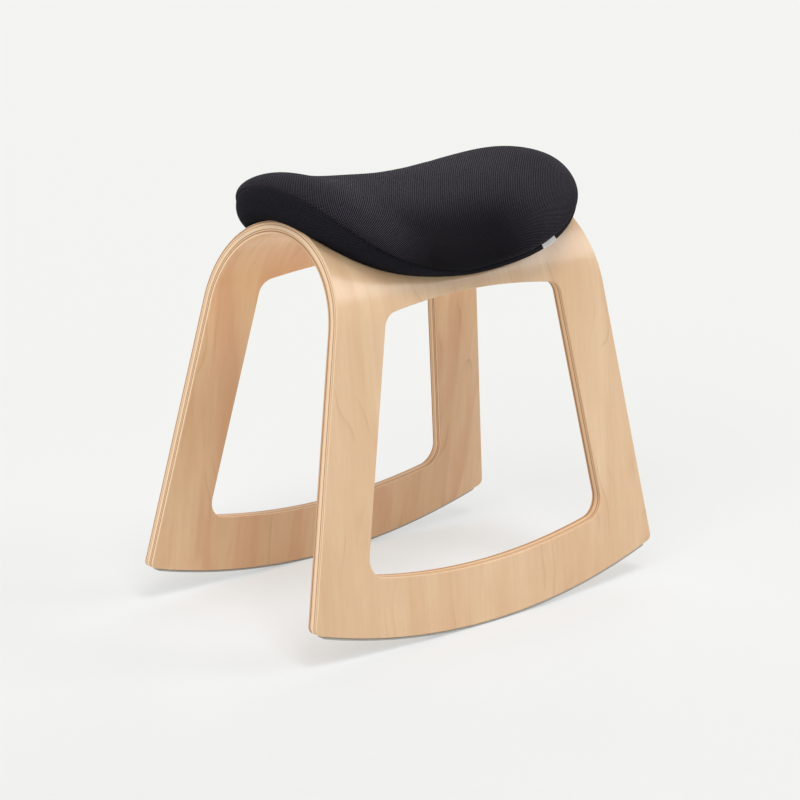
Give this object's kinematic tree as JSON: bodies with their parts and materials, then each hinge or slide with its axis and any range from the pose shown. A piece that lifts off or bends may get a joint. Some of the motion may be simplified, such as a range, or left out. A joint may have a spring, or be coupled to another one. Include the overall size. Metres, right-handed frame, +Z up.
{
  "type": "rocking saddle stool",
  "caption": "Bent plywood rocking stool with two windowed leg panels on curved edges and a black padded saddle seat draped over its crown.",
  "frame": {"origin": "on the floor under the middle of the stool", "axes": "+X along the seat's length, +Y to the left of a person who faces +X, +Z up"},
  "size_m": [0.5366, 0.3236, 0.5208],
  "materials": {
    "ply": "satin clear lacquer",
    "floor_strip": "matt",
    "knit": "matt spacer mesh",
    "band_cloth": "smooth matt cloth",
    "liner": "matt non-woven cloth",
    "foam": "matt moulded foam",
    "board": "raw plywood",
    "tab": "woven, blank",
    "steel": "zinc plated"
  },
  "bodies": {
    "root": {"bentwood_frame": "ply", "floor_strip_left": "floor_strip", "floor_strip_right": "floor_strip", "dust_cloth": "liner", "seat_board": "board", "seat_foam": "foam", "cover_side_band": "band_cloth", "cover_top_panel": "knit", "sewn_tab": "tab", "seat_bolt_1": "steel", "bolt_washer_1": "steel", "tee_nut_1": "steel", "seat_bolt_2": "steel", "bolt_washer_2": "steel", "tee_nut_2": "steel", "seat_bolt_3": "steel", "bolt_washer_3": "steel", "tee_nut_3": "steel", "seat_bolt_4": "steel", "bolt_washer_4": "steel", "tee_nut_4": "steel"}
  },
  "joints": []
}
